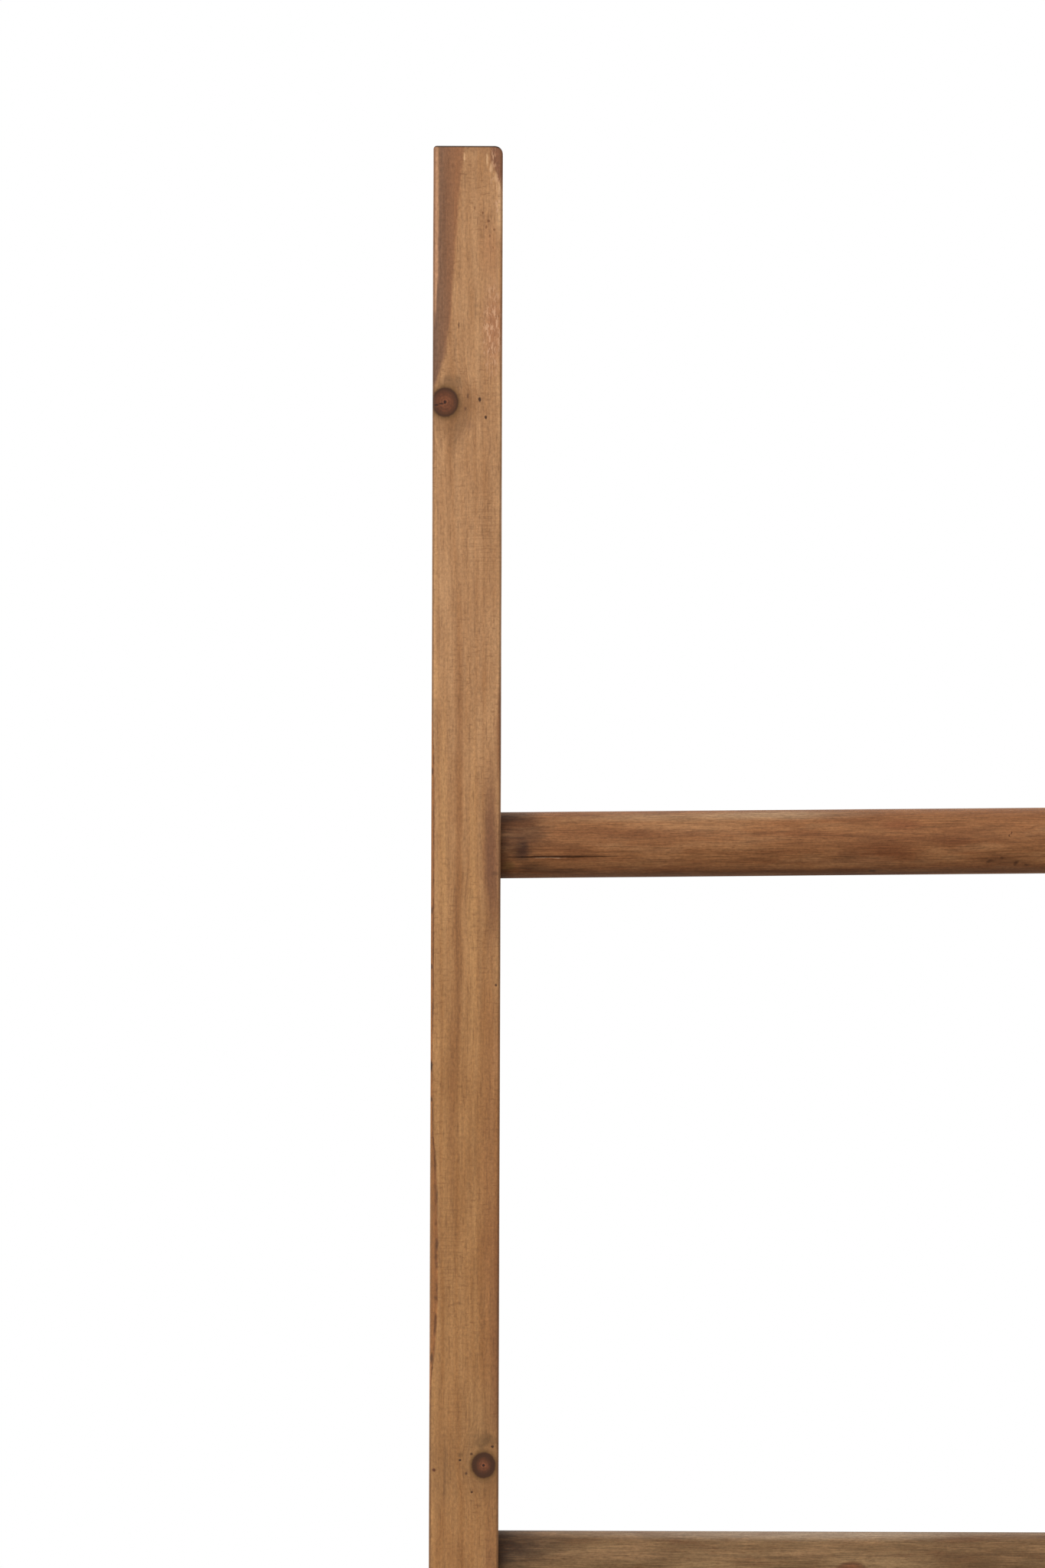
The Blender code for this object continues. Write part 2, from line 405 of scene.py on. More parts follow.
def wood_ground(tree, mm, pith, seed, ring_width, pale, deep):
    """The colour of stained wood without its fibres: growth rings round the pith and clouds of stain."""
    seeded = add(tree, "VectorMath.ADD", mm, (seed * 37.0, seed * 53.0, seed * 91.0))
    sway = mottled(tree, seeded, (0.03, 0.03, 0.004), 2.0, 0.5)  # 33 by 250 mm
    flat = add(tree, "VectorMath.MULTIPLY", mm, (1, 1, 0))
    radius = add(tree, "VectorMath.DISTANCE", flat, (*pith, 0))
    radius = add(tree, "Math.MULTIPLY_ADD", sway, RING_SWAY, radius)
    rings = add(tree, "TexNoise", radius, 1 / ring_width, 2.0, 0.6, noise_dimensions="1D")
    clouds = mottled(tree, seeded, (0.12, 0.12, 0.03), 4.0, 0.6)  # 8 by 33 mm
    tone = add(tree, "Math.MULTIPLY_ADD", rings, 0.5, 0.0)
    tone = add(tree, "Math.MULTIPLY_ADD", clouds, 0.5, tone)
    share = add(tree, "MapRange", tone, 0.34, 0.66, 0.0, 1.0)
    return add(tree, "Mix", share, pale, deep), seeded


# Knots, each with its centre, its radius and the share of it that is heart. Centres are in mm from the
# rail's outer face, from its front and down from its top.
KNOT_DEPTH = 30.0
CHECKED_HEART = 0.85  # a knot with more heart than this has dried and split
KNOT_RINGS = 30.0  # in radians to a radius, which draws about five
LEFT_KNOTS = [
    ((5.4, 0, 110.5), 5.9, 0.94),
    ((23.5, 0, 568.2), 5.2, 0.72),
    ((9, 0, 861), 4.4, 0.9),
    ((20, 40, 330), 5.5, 0.8),
    ((22, 0, 1212), 6.1, 0.8),
    ((11, 40, 1010), 4.8, 0.9),
    ((7.5, 0, 1547), 5, 1),
]
RIGHT_KNOTS = [
    ((21.5, 0, 187), 5.2, 0.9),
    ((7, 0, 655), 6, 0.8),
    ((9, 40, 905), 5.4, 0.8),
    ((24, 0, 1003), 4, 1),
    ((12, 0, 1390), 6.3, 0.75),
    ((21, 40, 1495), 4.6, 0.9),
]


KNOT_SHADOW = "#6f4a28"
KNOT_HALO = "#62431f"
KNOT_BARK = "#40230f"
KNOT_HEART = ("#6f3f24", "#8c5233")
KNOT_RING = "#4a2b1c"
KNOT_BLOTCH = "#482817"
KNOT_CHECK = "#2c150c"
KNOT_PITH = "#27120b"


def draw_knots(tree, ground, mm, knots):
    """Knots: a shadow beside, dark bark, and a red heart with rings, a pith and sometimes a check."""
    blotches = mottled(tree, mm, (0.45, 0.1, 0.4), 3.0, 0.65)  # 2 by 2.5 mm
    blotches = add(tree, "MapRange", blotches, 0.44, 0.66, 0.0, 0.65)
    for centre, radius, heart in knots:
        reach = (radius, KNOT_DEPTH, 1.1 * radius)
        away = away_from(tree, mm, centre, reach)
        beside = Vector(centre) + Vector((0.5 * radius, 0, 0.8 * radius))
        ground = lay(tree, ground, away_from(tree, mm, beside, reach), 2.2, 0.3, KNOT_SHADOW, 0.32)
        ground = lay(tree, ground, away, 1.4, 0.95, KNOT_HALO, 0.7)
        ground = lay(tree, ground, away, 1.07, 0.9, KNOT_BARK, 0.95)
        ground = lay(tree, ground, away, heart, heart - 0.4, KNOT_HEART[0], 0.95)
        ground = lay(tree, ground, away, 0.65 * heart, 0.1, KNOT_HEART[1], 0.8)
        ripple = add(tree, "Math.MULTIPLY", away, KNOT_RINGS)
        ripple = add(tree, "Math.SINE", ripple)
        ripple = add(tree, "MapRange", ripple, -1.0, 1.0, 0.0, 0.3)
        inside = add(tree, "MapRange", away, 0.95, 0.8, 0.0, 1.0)
        ripple = add(tree, "Math.MULTIPLY", ripple, inside)
        ground = add(tree, "Mix", ripple, ground, KNOT_RING)
        blotch = add(tree, "Math.MULTIPLY", blotches, inside)
        ground = add(tree, "Mix", blotch, ground, KNOT_BLOTCH)
        if heart > CHECKED_HEART:
            for across, down in ((-0.28, 0.1), (-0.64, 0.2)):
                check = Vector(centre) + Vector((across * radius, 0, down * radius))
                check = away_from(tree, mm, check, (0.26 * radius, 0.3 * KNOT_DEPTH, 0.07 * radius))
                ground = lay(tree, ground, check, 1.0, 0.4, KNOT_CHECK, 0.95)
        ground = lay(tree, ground, away, 0.15, 0.07, KNOT_PITH, 0.9)
    return ground


PORE_BROWN = "#533019"


def drawn_grain(tree, ground, seeded, fineness, shortness, fibre, speckle, pore):
    """Fibres, fine mottling and open pores over a colour, each given as its strength.

    Real fibres are about 0.04 mm wide and wouldn't show, so these are drawn some 0.5 to 1 mm wide and
    their pores a little finer. Returns the colour and the fibres.
    """
    fibres = mottled(tree, seeded, (fineness, fineness, 0.03 * shortness), 5.0, 0.65)
    speckles = mottled(tree, seeded, (1.0, 1.0, 0.6), 2.0, 0.6)  # 1 by 1.7 mm
    shade = add(tree, "MapRange", fibres, 0.3, 0.7, 1 - fibre, 1 + fibre)
    mottle = add(tree, "MapRange", speckles, 0.3, 0.7, 1 - speckle, 1 + speckle)
    shade = add(tree, "Math.MULTIPLY", shade, mottle)
    shaded = add(tree, "VectorMath.SCALE", ground, shade)
    pores = mottled(tree, seeded, (1.6 * fineness, 1.6 * fineness, 0.12 * shortness), 3.0, 0.6)
    return lay(tree, shaded, pores, 0.53, 0.7, PORE_BROWN, pore), fibres


KNIFE_BROWN = "#6b4224"
TICK_LEAN = math.radians(-8)
CHATTER_LEAN = math.radians(-12)
CHATTER_PITCH = 1.5  # mm from ridge to ridge


def plane_ticks(tree, ground, mm, strength):
    """Short dark lines across the fibres, in patches, left where the planer met the curly grain.

    Each is about 4 mm long, and they are about 1 mm apart.
    """
    slanted = add(tree, "Mapping", mm, (0, 0, 0), (0, TICK_LEAN, 0), (0.24, 0.24, 1.0))
    ticks = add(tree, "TexNoise", slanted, 1.0, 3.0, 0.6)
    patches = mottled(tree, mm, (0.1, 0.1, 0.025), 1.0, 0.5)  # 10 by 40 mm
    here = add(tree, "MapRange", patches, 0.42, 0.6, 0.1, 1.0)
    share = add(tree, "MapRange.SMOOTHSTEP", ticks, 0.52, 0.7, 0.0, strength)
    share = add(tree, "Math.MULTIPLY", share, here)
    return add(tree, "Mix", share, ground, KNIFE_BROWN)


def within(tree, share, mm, centre, reach):
    """Keeps a pattern's share to one area, fading out at its edge."""
    area = add(tree, "MapRange", away_from(tree, mm, centre, reach), 1.0, 0.4, 0.0, 1.0)
    return add(tree, "Math.MULTIPLY", share, area)


def chatter(tree, ground, mm, centre, reach):
    """Fine slanted ridges in one area, left by the planer's knife."""
    per_mm = (0.05, 0.05, 1 / CHATTER_PITCH)
    slanted = add(tree, "Mapping", mm, (0, 0, 0), (0, CHATTER_LEAN, 0), per_mm)
    sway = add(tree, "TexNoise", slanted, 0.8, 2.0, 0.6)
    row = add(tree, "SeparateXYZ", slanted).node.outputs["Z"]
    wave = add(tree, "Math.MULTIPLY_ADD", sway, 3.0, row)
    wave = add(tree, "Math.MULTIPLY", wave, math.tau)
    wave = add(tree, "Math.SINE", wave)
    share = within(tree, add(tree, "MapRange", wave, 0.1, 0.9, 0.0, 0.2), mm, centre, reach)
    return add(tree, "Mix", share, ground, KNIFE_BROWN)


TORN_FIBRE = "#d6a681"


def torn_flecks(tree, ground, mm, centre, reach):
    """Pale flecks in one area, where the planer tore the fibres out."""
    specks = mottled(tree, mm, (1.0, 1.0, 0.3), 2.0, 0.6)  # 1 by 3 mm
    share = add(tree, "MapRange.SMOOTHSTEP", specks, 0.5, 0.64, 0.0, 0.7)
    share = within(tree, share, mm, centre, reach)
    return add(tree, "Mix", share, ground, TORN_FIBRE)


ARRIS_DARKENING = "#5e402c"
END_STAIN = "#2f231a"
END_PORES = "#20150e"


def darkened_arrises_and_stained_ends(tree, ground, mm, arris, end):
    """Darkens the arrises, where a face turns two ways, and the sawn ends with their open pores."""
    normal = add(tree, "TexCoord").node.outputs["Normal"]
    across, inward, upright = add(tree, "SeparateXYZ", normal).node.outputs
    turn = add(tree, "Math.MULTIPLY", across, inward)
    turn = add(tree, "Math.ABSOLUTE", turn)
    # darker along every arris, where a face turns two ways
    ground = lay(tree, ground, turn, 0.22, 0.47, ARRIS_DARKENING, arris)
    upright = add(tree, "Math.ABSOLUTE", upright)
    rim = add(tree, "MapRange.SMOOTHSTEP", upright, 0.3, 0.75, 0.0, end)
    flat = add(tree, "MapRange.SMOOTHSTEP", upright, 0.9, 0.999, 0.0, 0.45 * end)
    share = add(tree, "Math.SUBTRACT", rim, flat)
    ground = add(tree, "Mix", share, ground, END_STAIN)
    pores = add(tree, "TexVoronoi", mm, 1.6)
    open_pores = add(tree, "MapRange", pores, 0.1, 0.35, 1.0, 0.0)
    share = add(tree, "Math.MULTIPLY", flat, open_pores)
    return add(tree, "Mix", share, ground, END_PORES)


WAX_ROUGHNESS = (0.5, 0.66)  # rubbed wax, duller where the fibres stand up
WAX_RELIEF = 0.25 * MM


def waxed(material, colour, relief, index):
    """Gives the material its shader: wax over wood, with a low soft gloss and the relief of its fibres."""
    tree = material.node_tree
    roughness = add(tree, "MapRange", relief, 0.3, 0.7, *WAX_ROUGHNESS)
    bump = add(tree, "Bump", 0.4, WAX_RELIEF, None, relief)
    return surface(material, add(tree, "BsdfPrincipled", colour, 0.0, roughness, index, 1.0, bump))


# Marks, in mm from the same corner as the knots: each has a centre, a reach, a colour, a strength and a
# soft share. Pins are the small ones, laid last.
LEFT_MARKS = [
    ((25, 0, 45), (7, 30, 19), "#a0663e", 0.35, 0.9),
    ((26.5, 0, 78), (7, 12, 27), "#9a5c40", 0.5, 0.9),
    ((15, 0, -1), (40, 60, 6), "#7d5236", 0.45, 0.9),
    ((32, 0, 3), (8.4, 14, 15), "#7a4c36", 0.85, 0.3),
    ((32, 0, 15), (4.4, 14, 15), "#84543a", 0.75, 0.4),
    ((22.5, 0, 32), (5.5, 12, 11), "#8a5a36", 0.35, 0.95),
    ((11.6, 0, 335), (3, 18, 95), "#85552f", 0.6, 0.9),
    ((9.5, 0, 410), (2.4, 16, 70), "#85552f", 0.5, 0.9),
    ((25.6, 0, 305), (4.8, 20, 55), "#734931", 0.85, 0.85),
    ((27, 0, 450), (8, 25, 150), "#8b5730", 0.5, 0.8),
    ((29, 0, 316), (3.4, 20, 40), "#774c34", 0.45, 0.9),
    ((29, 0, 392), (3.4, 20, 18), "#b07d52", 0.45, 0.9),
    ((29, 0, 538), (3.4, 20, 46), "#734c31", 0.42, 0.9),
    ((12, 0, 250), (3.5, 12, 80), "#8b5a34", 0.4, 0.9),
    ((18.2, 0, 330), (2.6, 14, 110), "#bd8c58", 0.5, 0.9),
    ((5.2, 0, 300), (2.6, 14, 90), "#c08f5b", 0.5, 0.9),
    ((22, 0, 560), (15, 25, 40), "#84623f", 0.4, 0.9),
    ((26, 0, 655), (4, 20, 70), "#7f5336", 0.6, 0.8),
    ((9, 0, 122), (8, 14, 14), "#6f4d33", 0.3, 0.95),
    ((7.5, 0, 101.5), (7, 10, 5), "#644a30", 0.5, 0.95),
    ((15.1, 0, 120), (4, 8, 4), "#704a37", 0.3, 0.95),
    ((24, 0, 557.5), (5.5, 8, 4.5), "#5f4427", 0.6, 0.9),
    ((14.6, 0, 563.6), (3, 8, 2), "#5f4427", 0.5, 0.9),
    ((6.8, 0, 575), (0.9, 10, 22), "#6a4529", 0.5, 0.8),
    ((0, 0, 35), (2.9, 8, 62), "#b98867", 0.75, 0.3),
    # painted highlight on the left arris
    ((0, 0, 180), (3, 8, 62), "#c79564", 0.6, 0.6),
    ((0, 0, 300), (2.4, 8, 34), "#8f5c34", 0.4, 0.9),
    ((30, 0, 254), (3.8, 20, 36), "#7d4c2c", 0.7, 0.8),
    ((29.4, 0, 28), (2.4, 8, 17), "#d8aa7c", 0.6, 0.7),
    ((1.5, 0, 230), (3, 8, 18), "#d3a06c", 0.5, 0.8),
    ((30, 0, 505), (5, 25, 80), "#7a4b2c", 0.6, 0.85),
    ((29, 0, 620), (8, 25, 70), "#7a4f30", 0.45, 0.9),
    ((14, 0, 111), (11, 14, 12), "#7c4e27", 0.5, 0.95),
    ((6, 0, 570), (9, 20, 24), "#84603c", 0.35, 0.9),
    ((4, 0, 800), (5, 20, 90), "#80512f", 0.5, 0.9),
    ((20, 0, 990), (6, 20, 160), "#8b5a34", 0.5, 0.9),
    ((11, 0, 1310), (5, 20, 120), "#7c4f30", 0.55, 0.9),
    ((25, 0, 1590), (5, 20, 150), "#84552f", 0.5, 0.9),
]
RIGHT_MARKS = [
    ((8, 0, 60), (6, 20, 90), "#80513a", 0.6, 0.7),
    ((25, 0, 300), (5, 20, 120), "#8b5a34", 0.5, 0.9),
    ((13, 0, 520), (4, 20, 130), "#7c4f30", 0.5, 0.9),
    ((3, 0, 860), (6, 20, 150), "#85552f", 0.6, 0.9),
    ((22, 0, 1180), (5, 20, 140), "#7c4f30", 0.5, 0.9),
    ((9, 0, 1600), (6, 20, 120), "#8b5a34", 0.5, 0.9),
]
LEFT_PINS = [
    ((11.2, 0, 77.5), (0.45, 4, 2.2), "#5b3a26", 0.8, 0.7),
    ((18, 0, 27), (0.5, 4, 1.2), "#754829", 0.7, 0.7),
    ((21.4, 0, 29), (0.6, 4, 1), "#6d4226", 0.75, 0.7),
    ((23.9, 0, 32.4), (0.9, 4, 0.8), "#6d4226", 0.8, 0.7),
    ((22.9, 0, 35), (0.6, 4, 1), "#6d4226", 0.7, 0.7),
    ((26.4, 0, 36.2), (0.7, 4, 0.7), "#754829", 0.7, 0.7),
    ((24.5, 0, 38.8), (0.6, 4, 0.9), "#754829", 0.7, 0.7),
    ((25.9, 0, 43.8), (0.5, 4, 1), "#754829", 0.6, 0.7),
    ((13.4, 0, 5), (0.5, 4, 2.6), "#d9ac80", 0.7, 0.7),
    ((23.2, 0, 6), (0.6, 4, 3.8), "#d9ac80", 0.7, 0.7),
    ((25, 0, 9.5), (0.9, 4, 3), "#d9ac80", 0.6, 0.8),
    ((26.9, 0, 13.5), (0.9, 4, 3), "#d9ac80", 0.6, 0.8),
    ((28.4, 0, 18), (0.8, 4, 3.4), "#d9ac80", 0.6, 0.8),
    ((20.3, 0, 109.3), (0.9, 6, 1.4), "#3a2010", 0.95, 0.6),
    ((22.9, 0, 117), (0.7, 6, 1.1), "#3a2010", 0.95, 0.6),
    ((15.2, 0, 107.6), (0.5, 4, 1.6), "#5b3a26", 0.8, 0.7),
    ((14.2, 0, 113.2), (0.7, 4, 1.2), "#5b3a26", 0.7, 0.8),
    ((27.3, 0, 560.2), (0.8, 5, 0.8), "#3a2010", 0.9, 0.6),
    ((18.2, 0, 563.4), (0.8, 5, 0.8), "#3a2010", 0.8, 0.7),
    ((13.3, 0, 566), (0.8, 5, 0.8), "#2c1a12", 0.95, 0.6),
    ((16, 0, 571.8), (0.7, 5, 0.9), "#4c3020", 0.8, 0.7),
    ((18.4, 0, 579.8), (0.7, 5, 0.7), "#3a2010", 0.9, 0.6),
    ((2.1, 0, 570.3), (1.1, 5, 1.1), "#4f2417", 0.9, 0.7),
    ((28.1, 0, 361.5), (0.6, 5, 0.8), "#4c3020", 0.9, 0.6),
    ((27.6, 0, 313.5), (2.2, 5, 1.5), "#5b3a26", 0.6, 0.8),
    ((0.9, 1, 522), (0.9, 4, 3), "#3c291e", 0.75, 0.6),
    ((0.4, 1, 269.6), (0.8, 2.5, 2.4), "#3f2a1f", 0.75, 0.7),
    ((0.4, 1, 329.6), (0.8, 2.5, 2.4), "#3f2a1f", 0.8, 0.7),
    ((0.4, 1, 353.5), (0.8, 2.5, 1.8), "#3f2a1f", 0.75, 0.7),
    ((0.4, 1, 396.4), (0.9, 2.5, 3), "#2b1e17", 0.9, 0.6),
    ((0.5, 1, 410.7), (0.7, 2.5, 1.6), "#3f2a1f", 0.75, 0.7),
    ((3.1, 1, 451.5), (0.7, 2.5, 6), "#3c2a20", 0.65, 0.9),
    ((3.2, 1, 473.5), (0.6, 2.5, 3.2), "#4a3122", 0.6, 0.9),
    ((3.2, 1, 482), (0.6, 2.5, 2.8), "#4a3122", 0.6, 0.9),
    ((3.1, 1, 492), (0.6, 2.5, 3.2), "#4a3122", 0.6, 0.9),
]
RIGHT_PINS = [
    ((8, 0, 204), (0.8, 5, 1.3), "#3a2010", 0.9, 0.6),
    ((13.6, 0, 391), (0.7, 5, 0.9), "#4c3020", 0.85, 0.6),
    ((19.7, 0, 648), (0.8, 5, 1), "#3a2010", 0.9, 0.6),
    ((4.2, 0, 1120), (0.7, 5, 1.1), "#4c3020", 0.85, 0.6),
]
CHATTER_AREAS = [((22, 0, 168), (11, 30, 26)), ((8.5, 0, 472), (7, 30, 34)), ((12, 0, 545), (7, 30, 16))]
TORN_AREAS = [((25.5, 0, 79), (5.6, 30, 24)), ((25.5, 0, 8), (1.8, 30, 13)), ((28, 0, 22), (1.6, 30, 16))]

# The dark heartwood at the top of the left rail: its right and left edges, as shares of its width, each
# at a share of its length. The ends of each list come first.
HEART_LENGTH = 110.0
HEART_WIDTH = 14.0
HEART_LEAN = 0.45  # how far it shifts for each mm inward
HEARTWOOD = ("#6a4b3b", "#8f5d3c")
HEART_RIGHT = [
    (0, 0.96), (1, 0.0), (0.1, 0.88), (0.23, 0.78), (0.41, 0.69), (0.55, 0.62), (0.68, 0.54), (0.8, 0.42),
    (0.88, 0.25), (0.94, 0.04),
]
HEART_LEFT = [(0, 0.17), (1, 0.0), (0.5, 0.17), (0.66, 0.06), (0.78, 0.0)]


def heart_streak(tree, ground, mm):
    """The dark heartwood that runs off the left arris, with edges that follow the fibres."""
    across, inward, drop = add(tree, "SeparateXYZ", mm).node.outputs
    depth = add(tree, "Math.MULTIPLY_ADD", inward, HEART_LEAN, across)
    place = add(tree, "Math.DIVIDE", drop, HEART_LENGTH)
    right = add(tree, "FloatCurve", 1.0, place, points=HEART_RIGHT)
    left = add(tree, "FloatCurve", 1.0, place, points=HEART_LEFT)
    share = add(tree, "Math.DIVIDE", depth, HEART_WIDTH)
    to_right = add(tree, "Math.SUBTRACT", right, share)
    to_left = add(tree, "Math.SUBTRACT", share, left)
    to_right = add(tree, "MapRange.SMOOTHSTEP", to_right, -0.07, 0.08, 0.0, 1.0)
    to_left = add(tree, "MapRange.SMOOTHSTEP", to_left, -0.03, 0.04, 0.0, 1.0)
    inside = add(tree, "Math.MULTIPLY", to_right, to_left)
    warm = add(tree, "MapRange", share, 0.15, 0.7, 0.0, 1.0)
    colour = add(tree, "Mix", warm, *HEARTWOOD)
    strength = add(tree, "Math.MULTIPLY", inside, 0.8)
    return add(tree, "Mix", strength, ground, colour)


UNDER_BARK = "#d2894c"
BARK_LINE = "#5b3217"


def waney_edge(tree, ground, mm):
    """The waney strip: red-brown under-bark with a dark broken line where it meets the planed face."""
    across, inward, drop = add(tree, "SeparateXYZ", mm).node.outputs
    place = add(tree, "Math.DIVIDE", drop, WANE[-1][0])
    widths = [(drop / WANE[-1][0], width / WANE_WIDEST) for drop, width in WANE]
    width = add(tree, "FloatCurve", 1.0, place, points=[(0, 0.0), widths[-1], *widths[:-1]])
    width = add(tree, "Math.MULTIPLY", width, WANE_WIDEST)
    width = add(tree, "Math.MAXIMUM", width, 0.02)
    share = add(tree, "Math.DIVIDE", across, width)
    back = add(tree, "MapRange", inward, 1.0, 4.0, 1.0, 0.0)
    strip = add(tree, "MapRange", share, 1.1, 0.9, 0.0, 0.8)
    strip = add(tree, "Math.MULTIPLY", strip, back)
    ground = add(tree, "Mix", strip, ground, UNDER_BARK)
    off_line = add(tree, "Math.SUBTRACT", share, 0.85)
    off_line = add(tree, "Math.ABSOLUTE", off_line)
    line = add(tree, "MapRange", off_line, 0.3, 0.08, 0.0, 0.85)
    line = add(tree, "Math.MULTIPLY", line, back)
    broken = mottled(tree, mm, (0.2, 0.2, 0.16), 3.0, 0.5)  # 5 by 6 mm
    broken = add(tree, "MapRange", broken, 0.4, 0.58, 0.3, 1.0)
    line = add(tree, "Math.MULTIPLY", line, broken)
    return add(tree, "Mix", line, ground, BARK_LINE)


RAIL_COLOURS = ("#be9065", "#9f7047")
RAIL_PITH = (-38.0, 55.0)
RAIL_RING = 4.2
RAIL_DARKENING = (190.0, 430.0)  # where the rail turns darker and warmer lower down, in mm below the top
RAIL_LOWER_TINT = "#ede6d1"
RAIL_INDEX = 1.32  # wax has about 1.44, but the fibres break its shine


def rail_wood(name, corner, scale, knots, marks, pins, seed, first):
    """Waxed pine: honey brown, close-grained, with a soft low gloss and red-brown knots."""
    material, tree = finish_of(name)
    mm = in_mm(tree, corner, scale)
    parted = part_round(tree, mm, knots)
    colour, seeded = wood_ground(tree, parted, RAIL_PITH, seed, RAIL_RING, *RAIL_COLOURS)
    drop = add(tree, "SeparateXYZ", mm).node.outputs["Z"]
    lower = add(tree, "MapRange.SMOOTHSTEP", drop, *RAIL_DARKENING, 0.0, 1.0)
    colour = add(tree, "Mix", lower, colour, RAIL_LOWER_TINT, blend_type="MULTIPLY")
    colour = lay_marks(tree, colour, ragged(tree, parted, 3.0, 2.4, 4.0), marks)
    if first:
        colour = heart_streak(tree, colour, ragged(tree, mm, 2.0, 1.2, 8.0))
        colour = waney_edge(tree, colour, ragged(tree, mm, 1.2, 0.8, 1.5))
    colour, fibres = drawn_grain(tree, colour, seeded, 0.95, 1.0, 0.11, 0.17, 0.3)
    colour = plane_ticks(tree, colour, mm, 0.4)
    tight = ragged(tree, mm, 1.6, 0.8, 1.0)
    if first:
        for area in CHATTER_AREAS:
            colour = chatter(tree, colour, mm, *area)
        for area in TORN_AREAS:
            colour = torn_flecks(tree, colour, mm, *area)
    colour = draw_knots(tree, colour, tight, knots)
    colour = lay_marks(tree, colour, tight, pins)
    colour = darkened_arrises_and_stained_ends(tree, colour, mm, 0.5, 0.9)
    return waxed(material, colour, fibres, RAIL_INDEX)


for name, sign in (("left_rail", 1), ("right_rail", -1)):
    low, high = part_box(name)
    first = name == "left_rail"
    bar = rail_bar(low, high, TOP_CORNERS[name])
    wear_rail(bar, low, high, WANE if first else [])
    side = name.split("_")[0]
    wood = rail_wood(
        f"waxed_pine_{side}",
        Vector((low.x if first else high.x, low.y, high.z)),
        (sign, 1, -1),
        LEFT_KNOTS if first else RIGHT_KNOTS,
        LEFT_MARKS if first else RIGHT_MARKS,
        LEFT_PINS if first else RIGHT_PINS,
        1.0 + sign,
        first,
    )
    rail = piece(f"{side}_rail_bar", bar, wood)
    cut(rail, [joint_cutter(number, side) for number in range(1, 6)])
    smooth(rail)
    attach(rail, "root")
    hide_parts(name)

# --- Rungs -----------------------------------------------------------------------------------------
# Five bars turned from acacia, with shouldered tenons, stained darker before the wax. Each
# tapers a little and is not quite round. The top one has a long drying crack near its left end.

RUNG_RADIUS = 14.3 * MM
RUNG_SIDES = 96
RUNG_ROWS = 150
SHOULDER_EASE = 0.15 * MM
TENON_EASE = 1.0 * MM
PILOT_DEPTH = 40.6 * MM  # how far in from its head the screw's hole ends
SHOULDER_BITE = 0.35 * MM  # how far the shoulders are pressed into the rails' faces
TAPER = 0.15 * MM
LATHE_WANDER = 0.05 * MM
LATHE_WAVES = Vector((30, 60, 60))
CRACK = (25.0 * MM, 2.6 * MM, 0.17 * MM)  # half its length, depth and width
CRACK_AT = (26.0 * MM, 5.2 * MM)  # right of the left shoulder and below the rung's line


def rung_bar(number):
    """A turned rung along X: body, tenons and the pilot holes for the screws."""
    shoulder = INNER_FACE + SHOULDER_BITE
    pilot = HEAD_FACE - PILOT_DEPTH
    right_half = [
        (shoulder - SHOULDER_EASE, RUNG_RADIUS),
        (shoulder, RUNG_RADIUS - SHOULDER_EASE),
        (shoulder, TENON_RADIUS),
        (TENON_END - TENON_EASE, TENON_RADIUS),
        (TENON_END, TENON_RADIUS - TENON_EASE),
        (TENON_END, SCREW_RADIUS + GLUE),
        (pilot, SCREW_RADIUS + GLUE),
        (pilot, 0.0),
    ]
    left_half = [(-x, radius) for x, radius in reversed(right_half)]
    shape = turned(left_half + right_half, RUNG_SIDES)
    long = [edge for edge in shape.edges if edge.calc_length() > SHAFT]
    bmesh.ops.subdivide_edges(shape, edges=long, cuts=RUNG_ROWS, use_grid_fill=True)
    for vert in shape.verts:
        radius = vert.co.yz.length
        if radius > RUNG_RADIUS - MM:
            place = vert.co * LATHE_WAVES + Vector((0, 0, 5 * number))
            worn = TAPER * (0.5 + vert.co.x / (2 * INNER_FACE))
            worn += LATHE_WANDER * (0.5 + 0.5 * noise.noise(place))
            vert.co.yz *= (radius - worn) / radius
    return shape


def drying_crack():
    """A thin lens-shaped cutter on the front of the top rung."""
    along_rung, below = CRACK_AT
    front = math.sqrt(RUNG_RADIUS**2 - below**2)
    shape = bmesh.new()
    bmesh.ops.create_uvsphere(shape, u_segments=32, v_segments=16, radius=1.0)
    bmesh.ops.scale(shape, vec=CRACK, verts=shape.verts)
    bmesh.ops.translate(shape, vec=(along_rung - INNER_FACE, -front, -below), verts=shape.verts)
    onto_line(shape, 1, "right")
    return piece("drying_crack", shape)


